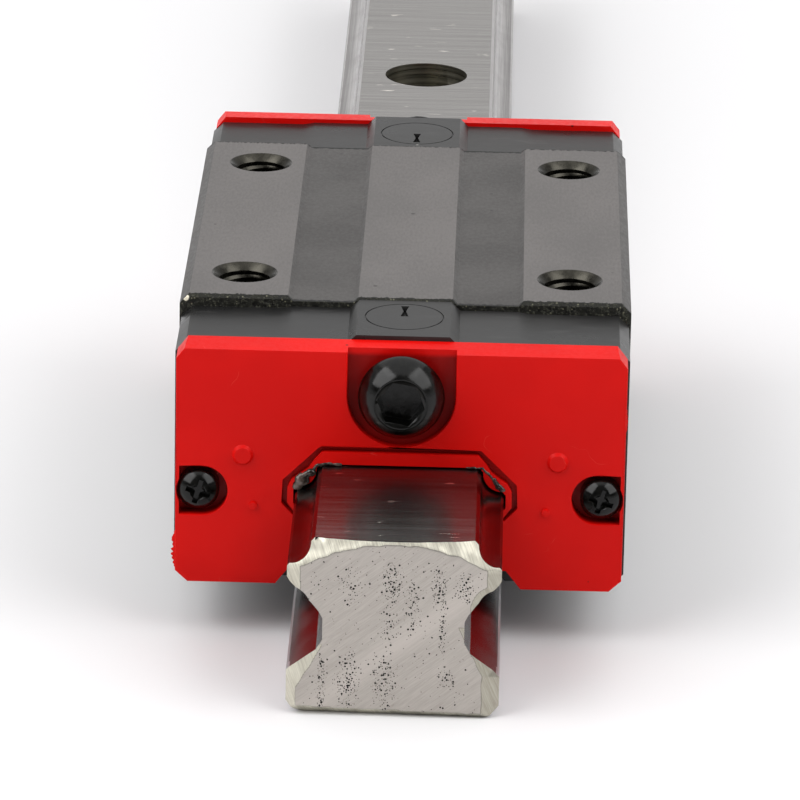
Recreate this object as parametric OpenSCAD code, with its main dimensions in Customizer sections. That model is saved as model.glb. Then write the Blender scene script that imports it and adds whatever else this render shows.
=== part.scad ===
// Linear guide carriage: a square recirculating-ball block on its profiled rail.
// X runs across the rail, +Y along it, +Z up. The origin is the centre of the rail's underside.
// All sizes are in millimetres.

/* [Rail] */
// Length of the rail, a whole number of hole pitches
rail_l = 240; // [180:60:600]
// Width of the rail over its flanks
rail_w = 20; // [19.8:0.1:20.2]
// Height of the rail
rail_h = 17.5; // [17.4:0.05:17.55]
// Distance between two fixing holes
hole_pitch = 60; // [30:30:60]
// How far the row of holes stands behind the rail's middle
hole_offset = 1.85; // [-8:0.05:8]
// Diameter of the fixing hole
hole_d = 6; // [5:0.1:6.6]
// Diameter of the counterbore for the screw head
cbore_d = 9.5; // [8.5:0.1:10.5]
// Depth of the counterbore
cbore_depth = 8.5; // [6:0.1:9.5]

/* [Carriage block] */
// Where the carriage's middle stands along the rail
carriage_y = -61.25; // [-80:0.25:80]
// Width of the steel block
block_w = 44; // [43.8:0.1:48]
// Length of the steel block
block_l = 50.5; // [48:0.5:70]
// Height of the mounting face above the rail's underside
carriage_h = 30; // [29.9:0.05:31]
// Gap between the block's underside and the rail's underside
ground_gap = 4.6; // [4.4:0.1:4.8]
// Chamfer along the long edges of the block
side_chamfer = 0.9; // [0.4:0.1:1.2]
// Chamfer across both ends of the mounting face
end_chamfer = 0.3; // [0.2:0.05:0.6]
// Depth of the two lengthwise grooves between the ground pads
groove_depth = 0.45; // [0.2:0.05:0.8]

/* [Mounting threads] */
// Distance between the threads across the rail
thread_x = 32; // [30:0.5:33]
// Distance between the threads along the rail
thread_y = 36; // [30:0.5:40]
// Nominal diameter of the threads
thread_d = 5; // [4:0.5:6]
// Depth of the threads
thread_depth = 8; // [5:0.5:8]
// Diameter of the countersink at the mouth
thread_mouth_d = 6.4; // [6.2:0.1:7.5]

/* [Balls] */
// Diameter of one ball
ball_d = 3.969; // [3.95:0.001:3.98]
// Radius of the ground raceways
race_r = 2.06; // [2.04:0.01:2.1]
// Balls in one straight row
row_balls = 13; // [11:2:13]

/* [End caps] */
// Length of one end cap
cap_l = 10.5; // [9:0.5:14]
// Width of the end caps
cap_w = 43.6; // [43:0.1:44]
// Height of the end caps beside the raised rib
cap_top = 29; // [28.5:0.1:29.2]
// Height of the raised rib's flat top
rib_top = 29.85; // [29.5:0.05:29.9]

/* [End seals] */
// Thickness of one end seal
seal_t = 3; // [2.6:0.1:4]
// Width of the end seals
seal_w = 43.1; // [42.6:0.1:43.4]
// Height of the end seals at the outer face
seal_top_outer = 29.1; // [28.6:0.1:29.3]
// Height of the end seals where they meet the cap
seal_top_inner = 29.4; // [29.3:0.1:29.8]
// Height of the end seals' lower edge
seal_bottom = 5.3; // [5.1:0.1:6]
// Gap between the sealing lip and the rail
lip_gap = 0.2; // [0.15:0.01:0.3]

/* [Screws] */
// Diameter of the lubrication port plug's head
plug_head_d = 8.3; // [7.6:0.1:9]
// Height of the plug's head
plug_head_h = 2.3; // [2.2:0.1:2.8]
// Width across the flats of the plug's hexagon socket
plug_socket = 4; // [3:0.5:4]
// Diameter of the plug's shank
plug_d = 6; // [5:0.5:6]
// Diameter of the cap screws' heads
screw_head_d = 4; // [3.6:0.1:4.2]
// Height of the cap screws' heads
screw_head_h = 2.5; // [2:0.1:2.6]
// Diameter of the cap screws' shanks
screw_d = 2; // [1.6:0.1:2]

/* [Hidden] */
$fn = 64;
LEFT = -1;
RIGHT = 1;
FRONT = -1;
REAR = 1;
UPPER = 0;
LOWER = 1;
eps = 1;                    // overshoot of a cutting body past the face it cuts
snug = 0.05;                // gap between a fitted piece and its pocket

steel_dark = [0.36, 0.35, 0.34];
steel_ground = [0.62, 0.60, 0.58];
steel_ball = [0.80, 0.81, 0.83];
plastic_black = [0.16, 0.16, 0.16];
plastic_guide = [0.10, 0.10, 0.11];
plastic_retainer = [0.85, 0.83, 0.76];
rubber_black = [0.08, 0.08, 0.08];
seal_red = [0.80, 0.08, 0.07];
screw_black = [0.09, 0.09, 0.09];

// Rail section, half widths and heights
rail_half = rail_w / 2;
rail_top_half = 7.44;
rail_shoulder = [7.8, 17.15];
flange_top_z = 14.85;
flange_bottom_z = 13.75;
flange_corner = [9.75, 13.35];
flange_edge = [9.45, 13.05];
lower_race_end = [7.7, 11.35];
waist_half = 6.63;
waist_top = [6.98, 10.45];
waist_high_z = 9.75;
waist_low_z = 7.65;
waist_bottom = [7.2, 6.6];
base_top_z = 4.2;
base_shoulder = [9.8, 4.4];
base_bottom_z = 1.2;
base_corner = [9.2, 0.3];
base_half = 8.6;

// Ball circuits: loaded rows beside the rail and return bores in the block's legs
load_x = 9.85;
load_z = [17.15, 10.85];
return_x = 16.3;
return_z = [18.5, 9.4];
return_r = 2.2;
turn_bore_r = 2.1;
turn_centre_x = (load_x + return_x) / 2;
ball_gap = 0.011;           // smallest gap between two balls in a row
ball_step = ball_d + ball_gap;

// Ground pads on the block's top: edge of the middle one, edge of the outer ones
pad_inner = 4.6;
pad_outer = 11.45;
groove_slope = 0.45;

// Inner section of the block
roof_z = 18.9;
mid_land_x = 11.3;
leg_x = 10.6;
retainer_gap = 0.3;         // gap between a retainer and the rail

// Places along a carriage half, measured outwards from its middle
block_end = block_l / 2;
cap_end = block_end + cap_l;
seal_end = cap_end + seal_t;

guide_cut = 0.15;           // a guide's rim stays this far inside the turn's centre line
guide_h = 4.8;
web_at = [11.6, 11];        // web between the two spools of a guide
web_size = [3, 1.6, 5.6];
cap_gap = 0.75;             // gap between the end cap and the rail
cap_bottom = 5;
cap_chamfer = 1;
cap_step = 0.2;             // drop of the cap's top outside the grooves
cap_step_x = 11;
cap_step_run = 1.2;
rib_half_top = 4.5;
rib_half_base = 5.35;
port_z = 24.8;
port_depth = 6;
channel_w = 1.4;            // grease channels moulded in the cap's inner face
channel_depth = 0.9;
channel_low_z = 10.4;       // the side channels end in the lower return bores
ring_r = 3.7;               // thin moulded circle on the rib
ring_line = 0.14;
ring_depth = 0.12;
ring_y = 4.75;              // from the cap's inner face
mark_w = 0.8;               // waisted dimple on the rib
mark_l = 3;
mark_neck = 0.25;
mark_depth = 0.6;
mark_y = 3.1;

tenon_l = 1;                // how far a retainer's end reaches into the cap
tenon_slot_l = 1.1;
top_tenon = [[-5, 18.3], [10, 0.5]];        // corner and size in section
side_tenon = [[10.8, 13.1], [0.4, 1.3]];
lower_tenon = [[8.4, 7], [1.8, 0.8]];
bottom_tenon = [[9.7, 5.3], [0.8, 0.5]];
lower_retainer_edge = [[8.7, 6.9], [7.75, 7.9], [7.5, 9.4], [7.7, 10.3]];
bottom_seal_edge = [[9.75, 4.9], [8.65, 5.8], [8.8, 6]];

screw_x = 19.35;
screw_z = 14.7;
screw_pocket_x = 19;
screw_pocket_r = 2.47;
screw_pocket_depth = 1.75;
screw_rim = 0.35;
screw_grip = 5;             // length of thread in the steel block
screw_head_rim = 1.45;
cross_size = [0.5, 2.4, 1]; // width, span and depth of the cross recess
cross_middle = 0.7;         // share of the span that its conical middle takes up
cross_turn = 18;
plug_collar_d = 6.8;        // collar under the plug's head that keeps it clear of the seal
plug_collar_h = 1.4;
plug_head_rim = 0.25;
plug_flat_r = 2.6;
plug_socket_depth = 1.9;
plug_mouth = [1.9, 2.5, 0.3];               // radii and depth of the countersunk socket mouth
plug_turn = 10;
skin = 0.01;                // overshoot of a cone that ends at a face
seal_corner_high = [1, 1.3];
seal_corner_low = [1.2, 1.1];
seal_flare = [[10.4, 7.2], [11.8, 5.4]];    // the opening widens below the lips
plate_flare = [[11, 8], [12.8, 5.4]];
plug_pocket_half = 5.2;
plug_pocket_depth = 1.2;
bump = [15.1, 18.45];
bump_r = 1.03;
bump_top_r = 0.78;
bump_h = 0.35;
pip = [14.05, 13.3];
pip_r = 0.4;
pip_h = 0.25;
relief_depth = 0.8;         // groove round the sealing lip, and its two edges in section
relief_outer = [[7.75, 19.45], [11.25, 16], [11.35, 13.6], [10.1, 12.3]];
relief_inner = [
    [7.5, 18.95], [8.25, 18.1], [8.8, 17.2], [9.6, 16.6], [10.35, 16.1],
    [10.77, 15.3], [10.8, 13.7], [9.95, 12.55], [9.9, 12.2]
];
plate_t = 0.8;              // steel plate in the back of the end seal
plate_inset = 1;
plate_gap = 1.3;            // gap between the plate and the rail

function flip(points) = [for (i = [len(points) - 1 : -1 : 0]) [-points[i][0], points[i][1]]];
function both_sides(points) = concat(points, flip(points));

// ---- placing helpers ----

// Extrude an outline drawn in X and Z along +Y, from y0 over the given length
module along_y(y0, length) {
    translate([0, y0 + length, 0]) rotate([90, 0, 0]) linear_extrude(length) children();
}

// Put a piece drawn about the carriage's middle onto the rail
module on_rail() {
    translate([0, carriage_y, 0]) children();
}

// Put a piece drawn for the rear end at either end of the carriage
module at_end(end) {
    on_rail() mirror([0, end == FRONT ? 1 : 0, 0]) children();
}

// Put a piece drawn on the right at either side
module at_side(side) {
    mirror([side == LEFT ? 1 : 0, 0, 0]) children();
}

// Turn a body drawn about +Z so that it points along +Y from the given place
module facing_y(x, y, z) {
    translate([x, y, z]) rotate([-90, 0, 0]) children();
}

// ---- shared outlines ----

// Rail section, grown all round by a gap
module rail_outline(gap = 0) {
    difference() {
        polygon(both_sides([
            [rail_top_half + gap, rail_h + gap],
            [rail_shoulder[0] + gap, rail_shoulder[1] + gap / 2],
            [rail_half + gap, flange_top_z + gap / 2],
            [rail_half + gap, flange_bottom_z - gap / 2],
            [flange_corner[0] + gap / 2, flange_corner[1] - gap / 2],
            [flange_edge[0] + gap / 2, flange_edge[1] - gap / 2],
            [lower_race_end[0] + gap / 2, lower_race_end[1] - gap / 2],
            [waist_top[0] + gap, waist_top[1] - gap / 2],
            [waist_half + gap, waist_high_z],
            [waist_half + gap, waist_low_z],
            [waist_bottom[0] + gap / 2, waist_bottom[1] + gap],
            [base_shoulder[0] + gap / 2, base_shoulder[1] + gap],
            [rail_half + gap, base_top_z + gap / 2],
            [rail_half + gap, base_bottom_z],
            [base_corner[0] + gap, base_corner[1]],
            [base_half + gap, 0]
        ]));
        raceway_circles(race_r - gap);
    }
}

// The four ball rows in section
module raceway_circles(r) {
    for (side = [LEFT, RIGHT], z = load_z) translate([side * load_x, z]) circle(r = r);
}

// Room inside the block for the rail, the balls and their retainers
module block_channel() {
    polygon(both_sides([
        [load_x, roof_z], [mid_land_x, load_z[UPPER]], [mid_land_x, load_z[LOWER]],
        [leg_x, load_z[LOWER]], [leg_x, ground_gap - eps]
    ]));
    raceway_circles(race_r);
}

// Top face of the block: three ground pads with a shallow groove either side of the middle one
module block_blank() {
    half = block_w / 2;
    floor_z = carriage_h - groove_depth;
    difference() {
        polygon(both_sides([
            [pad_inner, carriage_h], [pad_inner + groove_slope, floor_z],
        [pad_outer - groove_slope, floor_z], [pad_outer, carriage_h],
            [half - side_chamfer, carriage_h], [half, carriage_h - side_chamfer],
            [half, ground_gap + side_chamfer / 2], [half - side_chamfer / 2, ground_gap]
        ]));
        block_channel();
    }
}

// ---- ball circuit ----

// Angle by which a circuit's plane leans, and its turning radius
function turn_lean(row) = atan2(return_z[row] - load_z[row], return_x - load_x);
function turn_radius(row) = norm([return_x - load_x, return_z[row] - load_z[row]]) / 2;
// Two balls sit in each turn, one step apart, evenly about its middle
function turn_step(row) = 2 * asin(ball_step / 2 / turn_radius(row));
// Where the straight row starts, so that its last ball is one step from the turn's nearest
function row_half(row) =
    let (r = turn_radius(row), a = 90 - turn_step(row) / 2, across = r - r * cos(a))
    block_end + r * sin(a) - sqrt(pow(ball_step, 2) - pow(across, 2));

// Place a body in a circuit's plane: X from the turn's middle towards the return bore, Y outwards
module circuit_plane(row) {
    translate([turn_centre_x, 0, (load_z[row] + return_z[row]) / 2])
        rotate([0, -turn_lean(row), 0]) children();
}

// Curved passage that takes the balls from a loaded row into its return bore
module turn_passage(row) {
    circuit_plane(row) translate([0, block_end, 0])
        rotate_extrude(angle = 180) translate([turn_radius(row), 0]) circle(r = turn_bore_r);
}

module ball_circuit(side, row) {
    r = turn_radius(row);
    pitch = 2 * row_half(row) / (row_balls - 1);
    on_rail() at_side(side) circuit_plane(row) {
        for (x = [-r, r], i = [0 : row_balls - 1])
            translate([x, i * pitch - row_half(row), 0]) sphere(d = ball_d);
        for (end = [FRONT, REAR], lean = [-1, 1]) {
            a = 90 + lean * turn_step(row) / 2;
            translate([r * cos(a), end * (block_end + r * sin(a)), 0]) sphere(d = ball_d);
        }
    }
}

// ---- rail ----

module rail() {
    holes = floor(rail_l / hole_pitch);
    color(steel_ground) difference() {
        along_y(-rail_l / 2, rail_l) rail_outline();
        for (i = [0 : holes - 1]) translate([0, hole_offset + (i - (holes - 1) / 2) * hole_pitch, 0]) {
            translate([0, 0, -eps]) cylinder(d = hole_d, h = rail_h + 2 * eps);
            translate([0, 0, rail_h - cbore_depth]) cylinder(d = cbore_d, h = cbore_depth + eps);
        }
    }
}

// ---- carriage block ----

module mounting_thread() {
    mouth_depth = (thread_mouth_d - thread_d) / 2;
    translate([0, 0, carriage_h - thread_depth]) cylinder(d = thread_d, h = thread_depth + eps);
    translate([0, 0, carriage_h - mouth_depth])
        cylinder(d1 = thread_d, d2 = thread_mouth_d + 2 * eps, h = mouth_depth + eps);
}

module carriage_block() {
    edge = end_chamfer * sqrt(2);
    color(steel_dark) on_rail() difference() {
        along_y(-block_end, block_l) block_blank();
        for (x = [-1, 1], y = [-1, 1]) translate([x * thread_x / 2, y * thread_y / 2, 0])
            mounting_thread();
        for (side = [LEFT, RIGHT], row = [UPPER, LOWER])
            facing_y(side * return_x, -block_end - eps, return_z[row])
                cylinder(r = return_r, h = block_l + 2 * eps);
        for (end = [FRONT, REAR]) {
            translate([0, end * block_end, carriage_h]) rotate([45, 0, 0])
                cube([block_w + 2 * eps, edge, edge], center = true);
            for (side = [LEFT, RIGHT]) mirror([0, end == FRONT ? 1 : 0, 0])
                facing_y(side * screw_x, block_end - screw_grip - snug, screw_z)
                    cylinder(d = screw_d + snug, h = screw_grip + eps);
        }
    }
}

// ---- end caps and return guides ----

module cap_outline() {
    half = cap_w / 2;
    side_top = cap_top - cap_step;
    polygon(both_sides([
        [rib_half_top, rib_top], [rib_half_base, cap_top],
        [cap_step_x, cap_top], [cap_step_x + cap_step_run, side_top],
        [half - cap_chamfer, side_top], [half, side_top - cap_chamfer],
        [half, cap_bottom + cap_chamfer], [half - cap_chamfer, cap_bottom]
    ]));
}

// Half spool that forms the inner wall of one turn; grow widens it for its pocket
module guide_spool(row, grow = 0) {
    r = turn_radius(row) - guide_cut + grow;
    h = guide_h + 2 * grow;
    circuit_plane(row) intersection() {
        translate([0, block_end, -h / 2]) cylinder(r = r, h = h);
        translate([-r - eps, block_end, -h]) cube([2 * (r + eps), r + eps, 2 * h]);
    }
}

// Web that joins the two spools of one side
module guide_web(grow = 0) {
    translate([web_at[0] - grow, block_end, web_at[1] - grow]) cube(web_size + [2, 1, 2] * grow);
}

module guide_pocket() {
    for (row = [UPPER, LOWER]) guide_spool(row, snug);
    guide_web(snug);
}

module return_guide(end, side) {
    color(plastic_guide) at_end(end) at_side(side) difference() {
        union() {
            for (row = [UPPER, LOWER]) guide_spool(row);
            guide_web();
        }
        for (row = [UPPER, LOWER]) turn_passage(row);
    }
}

// Waisted dimple moulded in the rib, drawn about its middle
module rib_mark() {
    linear_extrude(mark_depth + eps) polygon([
        [-mark_w / 2, -mark_l / 2], [mark_w / 2, -mark_l / 2], [mark_neck / 2, 0],
        [mark_w / 2, mark_l / 2], [-mark_w / 2, mark_l / 2], [-mark_neck / 2, 0]
    ]);
}

module rib_details() {
    translate([0, block_end + ring_y, rib_top - ring_depth]) difference() {
        cylinder(r = ring_r + ring_line, h = ring_depth + eps);
        translate([0, 0, -eps]) cylinder(r = ring_r, h = ring_depth + 3 * eps);
    }
    translate([0, block_end + mark_y, rib_top - mark_depth]) rib_mark();
}

// Grease ways: from the port inwards, then along the cap's inner face to the return bores
module grease_ways() {
    facing_y(0, cap_end - port_depth - snug, port_z)
        cylinder(d = plug_d + 2 * snug, h = port_depth + eps);
    facing_y(0, block_end - eps, port_z) cylinder(r = channel_w, h = cap_l);
    translate([-return_x - channel_w / 2, block_end - eps, port_z - channel_w / 2])
        cube([2 * return_x + channel_w, channel_depth + eps, channel_w]);
    for (side = [LEFT, RIGHT])
        translate([side * return_x - channel_w / 2, block_end - eps, channel_low_z])
            cube([channel_w, channel_depth + eps, port_z - channel_low_z]);
}

// Ends of the retainers and bottom seals; grow widens them for their slots
module tenon(place, grow) {
    translate(place[0] - [grow, grow]) square(place[1] + 2 * [grow, grow]);
}

module tenons(length, grow = 0) {
    along_y(block_end, length) {
        tenon(top_tenon, grow);
        for (side = [LEFT, RIGHT], place = [side_tenon, lower_tenon, bottom_tenon])
            mirror([side == LEFT ? 1 : 0, 0]) tenon(place, grow);
    }
}

module end_cap(end) {
    color(plastic_black) at_end(end) difference() {
        along_y(block_end, cap_l) cap_outline();
        along_y(block_end - eps, cap_l + 2 * eps) rail_outline(cap_gap);
        for (side = [LEFT, RIGHT]) at_side(side) {
            for (row = [UPPER, LOWER]) turn_passage(row);
            guide_pocket();
            facing_y(screw_x, block_end - eps, screw_z)
                cylinder(d = screw_d + 2 * snug, h = cap_l + 2 * eps);
        }
        tenons(tenon_slot_l, snug);
        grease_ways();
        rib_details();
    }
}

// ---- ball retainers and bottom seals ----

// Run a strip's outline through the block and give both its ends their tenons
module strip() {
    along_y(-block_end, block_l) difference() {
        children(0);
        raceway_circles(race_r);
    }
    intersection() {
        for (end = [FRONT, REAR]) mirror([0, end == FRONT ? 1 : 0, 0]) tenons(tenon_l);
        along_y(-cap_end, 2 * cap_end) children(0);
    }
}

module top_ball_retainer() {
    low = rail_h + retainer_gap;
    color(plastic_retainer) on_rail() strip()
        translate([-load_x, low]) square([2 * load_x, roof_z - low]);
}

module side_retainer(side) {
    x0 = rail_half + retainer_gap;
    color(plastic_retainer) on_rail() at_side(side) strip()
        translate([x0, load_z[LOWER]]) square([mid_land_x - x0, load_z[UPPER] - load_z[LOWER]]);
}

module lower_retainer(side) {
    color(plastic_retainer) on_rail() at_side(side) strip()
        polygon(concat([[leg_x, 6.3]], lower_retainer_edge, [[leg_x, 10.3]]));
}

module bottom_seal(side) {
    color(rubber_black) on_rail() at_side(side) strip()
        polygon(concat([[leg_x, 4.9]], bottom_seal_edge, [[leg_x, 6]]));
}

// ---- end seals ----

module seal_outline(inset = 0) {
    half = seal_w / 2 - inset;
    top = seal_top_inner - inset;
    bottom = seal_bottom + inset;
    polygon(both_sides([
        [half - seal_corner_high[0], top], [half, top - seal_corner_high[1]],
        [half, bottom + seal_corner_low[1]], [half - seal_corner_low[0], bottom]
    ]));
}

// Opening for the rail: lips close to the rail, flared below it
module seal_opening() {
    rail_outline(lip_gap);
    polygon(both_sides(concat(seal_flare, [[seal_flare[1][0], seal_bottom - eps]])));
}

// Relief groove round the lip, in section
module relief_groove() {
    difference() {
        polygon(both_sides(relief_outer));
        polygon(both_sides(relief_inner));
    }
}

module plug_pocket() {
    translate([0, port_z]) circle(r = plug_pocket_half);
    translate([-plug_pocket_half, port_z]) square([2 * plug_pocket_half, plug_pocket_half + eps]);
}

module screw_pocket() {
    translate([screw_pocket_x, screw_z]) circle(r = screw_pocket_r);
    translate([screw_pocket_x, screw_z - screw_pocket_r])
        square([seal_w / 2 - screw_rim - screw_pocket_x, 2 * screw_pocket_r]);
}

module end_seal(end) {
    slope = atan2(seal_top_inner - seal_top_outer, seal_t);
    color(seal_red) at_end(end) {
        difference() {
            along_y(cap_end, seal_t) seal_outline();
            translate([-seal_w / 2 - eps, cap_end, seal_top_inner]) rotate([-slope, 0, 0])
                cube([seal_w + 2 * eps, 2 * seal_t, 2 * seal_t]);
            along_y(cap_end - eps, seal_t + 2 * eps) seal_opening();
            along_y(cap_end - eps, plate_t + eps) seal_outline(plate_inset);
            along_y(seal_end - relief_depth, relief_depth + eps) relief_groove();
            along_y(seal_end - plug_pocket_depth, plug_pocket_depth + eps) plug_pocket();
            facing_y(0, cap_end - eps, port_z) cylinder(d = plug_d + 2 * snug, h = seal_t + 2 * eps);
            for (side = [LEFT, RIGHT]) at_side(side) {
                along_y(seal_end - screw_pocket_depth, screw_pocket_depth + eps) screw_pocket();
                facing_y(screw_x, cap_end - eps, screw_z)
                    cylinder(d = screw_d + 2 * snug, h = seal_t + 2 * eps);
            }
        }
        for (side = [LEFT, RIGHT]) at_side(side) {
            facing_y(bump[0], seal_end, bump[1]) cylinder(r1 = bump_r, r2 = bump_top_r, h = bump_h);
            facing_y(pip[0], seal_end, pip[1]) cylinder(r = pip_r, h = pip_h);
        }
    }
}

module seal_plate(end) {
    color(steel_ground) at_end(end) difference() {
        along_y(cap_end, plate_t) seal_outline(plate_inset + snug);
        along_y(cap_end - eps, plate_t + 2 * eps) {
            rail_outline(plate_gap);
            polygon(both_sides(concat(plate_flare, [[plate_flare[1][0], seal_bottom - eps]])));
        }
        facing_y(0, cap_end - eps, port_z) cylinder(d = plug_d + 4 * snug, h = plate_t + 2 * eps);
        for (side = [LEFT, RIGHT])
            facing_y(side * screw_x, cap_end - eps, screw_z)
                cylinder(d = screw_d + 4 * snug, h = plate_t + 2 * eps);
    }
}

// ---- screws ----

// Round head of the given size, drawn about +Z from its seat: straight up to the rim,
// then a dome that ends in a flat of the given radius
module domed_head(d, h, rim, flat_r = 0) {
    dome_z = (pow(flat_r, 2) + pow(h, 2) - pow(d / 2, 2) - pow(rim, 2)) / (2 * (h - rim));
    dome_r = norm([flat_r, h - dome_z]);
    rotate_extrude() intersection() {
        translate([0, dome_z]) circle(r = dome_r);
        square([d / 2, h]);
    }
}

// Cross recess, cut down from the top of a head
module cross_recess() {
    width = cross_size[0];
    span = cross_size[1];
    depth = cross_size[2];
    for (a = [0, 90]) rotate(a) translate([-span / 2, -width / 2, -depth])
        cube([span, width, depth + eps]);
    translate([0, 0, -depth]) cylinder(d1 = width, d2 = span * cross_middle, h = depth + skin);
}

module cap_screw(end, side) {
    seat = seal_end - screw_pocket_depth;
    color(screw_black) at_end(end) facing_y(side * screw_x, seat, screw_z) {
        difference() {
            domed_head(screw_head_d, screw_head_h, screw_head_rim);
            translate([0, 0, screw_head_h]) rotate(cross_turn) cross_recess();
        }
        translate([0, 0, block_end - screw_grip - seat])
            cylinder(d = screw_d, h = seat + screw_grip - block_end);
    }
}

module port_plug(end) {
    seat = seal_end - plug_pocket_depth;
    socket_r = plug_socket / 2 / cos(30);
    head_top = plug_collar_h + plug_head_h;
    color(screw_black) at_end(end) facing_y(0, seat, port_z) difference() {
        union() {
            translate([0, 0, plug_collar_h]) domed_head(plug_head_d, plug_head_h, plug_head_rim, plug_flat_r);
            cylinder(d = plug_collar_d, h = plug_collar_h + eps);
            translate([0, 0, cap_end - port_depth - seat])
                cylinder(d = plug_d, h = seat + port_depth - cap_end);
        }
        translate([0, 0, head_top - plug_socket_depth]) rotate(plug_turn)
            cylinder(r = socket_r, h = plug_socket_depth + eps, $fn = 6);
        translate([0, 0, head_top - plug_mouth[2]])
            cylinder(r1 = plug_mouth[0], r2 = plug_mouth[1], h = plug_mouth[2] + skin);
    }
}

rail();
carriage_block();
end_cap(FRONT);  // front_end_cap
end_cap(REAR);  // rear_end_cap
return_guide(FRONT, LEFT);  // front_left_return_guide
return_guide(FRONT, RIGHT);  // front_right_return_guide
return_guide(REAR, LEFT);  // rear_left_return_guide
return_guide(REAR, RIGHT);  // rear_right_return_guide
color(steel_ball) ball_circuit(LEFT, UPPER);  // upper_left_balls
color(steel_ball) ball_circuit(RIGHT, UPPER);  // upper_right_balls
color(steel_ball) ball_circuit(LEFT, LOWER);  // lower_left_balls
color(steel_ball) ball_circuit(RIGHT, LOWER);  // lower_right_balls
top_ball_retainer();
side_retainer(LEFT);  // left_side_retainer
side_retainer(RIGHT);  // right_side_retainer
lower_retainer(LEFT);  // left_lower_retainer
lower_retainer(RIGHT);  // right_lower_retainer
bottom_seal(LEFT);  // left_bottom_seal
bottom_seal(RIGHT);  // right_bottom_seal
seal_plate(FRONT);  // front_seal_plate
seal_plate(REAR);  // rear_seal_plate
end_seal(FRONT);  // front_end_seal
end_seal(REAR);  // rear_end_seal
cap_screw(FRONT, LEFT);  // front_left_cap_screw
cap_screw(FRONT, RIGHT);  // front_right_cap_screw
cap_screw(REAR, LEFT);  // rear_left_cap_screw
cap_screw(REAR, RIGHT);  // rear_right_cap_screw
port_plug(FRONT);  // front_port_plug
port_plug(REAR);  // rear_port_plug
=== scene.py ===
"""Looks of the linear guide carriage on its rail: materials, worn edges, grease and the studio."""

import math
import random

import bmesh
import bpy
from mathutils import Matrix, Vector, noise


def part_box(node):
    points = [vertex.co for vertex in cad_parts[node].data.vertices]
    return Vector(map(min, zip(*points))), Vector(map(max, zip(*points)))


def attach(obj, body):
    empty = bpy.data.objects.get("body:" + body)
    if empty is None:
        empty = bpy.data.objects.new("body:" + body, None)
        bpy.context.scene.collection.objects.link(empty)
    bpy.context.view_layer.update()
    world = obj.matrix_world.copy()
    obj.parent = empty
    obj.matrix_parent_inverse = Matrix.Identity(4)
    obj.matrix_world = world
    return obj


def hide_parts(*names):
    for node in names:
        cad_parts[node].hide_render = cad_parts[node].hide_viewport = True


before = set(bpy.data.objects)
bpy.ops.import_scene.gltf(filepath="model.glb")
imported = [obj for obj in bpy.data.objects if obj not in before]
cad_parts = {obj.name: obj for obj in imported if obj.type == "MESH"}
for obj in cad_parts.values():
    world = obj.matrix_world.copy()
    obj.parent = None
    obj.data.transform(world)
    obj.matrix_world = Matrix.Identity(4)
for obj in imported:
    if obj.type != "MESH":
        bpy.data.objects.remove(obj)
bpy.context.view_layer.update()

MM = 0.001
LEFT, RIGHT = -1, 1

# ---- places, worked out from the frame ----

rail_low, rail_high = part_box("rail")
block_low, block_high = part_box("carriage_block")
cap_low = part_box("front_end_cap")[0]
seal_low, seal_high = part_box("front_end_seal")
rail_end = rail_low.y
rail_top = rail_high.z
block_front, block_rear = block_low.y, block_high.y
carriage_middle = (block_front + block_rear) / 2
SEAL_THICKNESS = 3 * MM
seal_face = cap_low.y - SEAL_THICKNESS
rear_seal_face = 2 * carriage_middle - seal_face

HOLE_X, HOLE_Y = 16 * MM, 18 * MM  # mounting holes, from the middle of the block
MOUNTING_HOLES = [
    (x, carriage_middle + y) for y in (-HOLE_Y, HOLE_Y) for x in (-HOLE_X, HOLE_X)
]
# Bare spot on the block's front left corner
NICK = (block_low.x + 0.6 * MM, block_front, block_high.z - 0.35 * MM)


# ---- mesh helpers ----


def clean_copy(node):
    """A bmesh of a CAD node with its flat faces whole again."""
    bm = bmesh.new()
    bm.from_mesh(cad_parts[node].data)
    bmesh.ops.remove_doubles(bm, verts=bm.verts, dist=2e-6)
    flat = math.radians(0.4)
    bmesh.ops.dissolve_limit(bm, angle_limit=flat, verts=bm.verts, edges=bm.edges)
    return bm


def bevel(bm, width, corner=28, segments=2, where=None):
    """Rounds the edges sharper than corner degrees, or those of them that the where test picks."""
    edges = []
    for edge in bm.edges:
        if len(edge.link_faces) == 2 and edge.calc_face_angle(0) > math.radians(corner):
            middle = (edge.verts[0].co + edge.verts[1].co) / 2
            if where is None or where(middle, edge):
                edges.append(edge)
    bmesh.ops.bevel(
        bm,
        geom=edges,
        offset=width,
        offset_type="OFFSET",
        segments=segments,
        profile=0.6,
        clamp_overlap=True,
        affect="EDGES",
    )


def make_piece(name, bm, body, materials, stands_for=(), sharp=30):
    """Turns a bmesh into a named piece on a body; edges sharper than sharp degrees stay crisp."""
    mesh = bpy.data.meshes.new(name)
    bm.to_mesh(mesh)
    bm.free()
    piece = bpy.data.objects.new(name, mesh)
    bpy.context.scene.collection.objects.link(piece)
    for material in materials:
        mesh.materials.append(material)
    mesh.shade_smooth()
    mesh.set_sharp_from_angle(angle=math.radians(sharp))
    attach(piece, body)
    if stands_for:
        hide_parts(*stands_for)
    return piece


def weighted_normals(piece):
    modifier = piece.modifiers.new("weighted_normals", "WEIGHTED_NORMAL")
    modifier.keep_sharp = True


def skin_rings(bm, rings):
    """Joins rings of four vertices into a closed bar."""
    for a, b in zip(rings, rings[1:]):
        for k in range(4):
            bm.faces.new((a[k], a[(k + 1) % 4], b[(k + 1) % 4], b[k]))
    bm.faces.new(rings[0])
    bm.faces.new(list(reversed(rings[-1])))
    bmesh.ops.recalc_face_normals(bm, faces=bm.faces)


# ---- node graph helper ----


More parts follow.
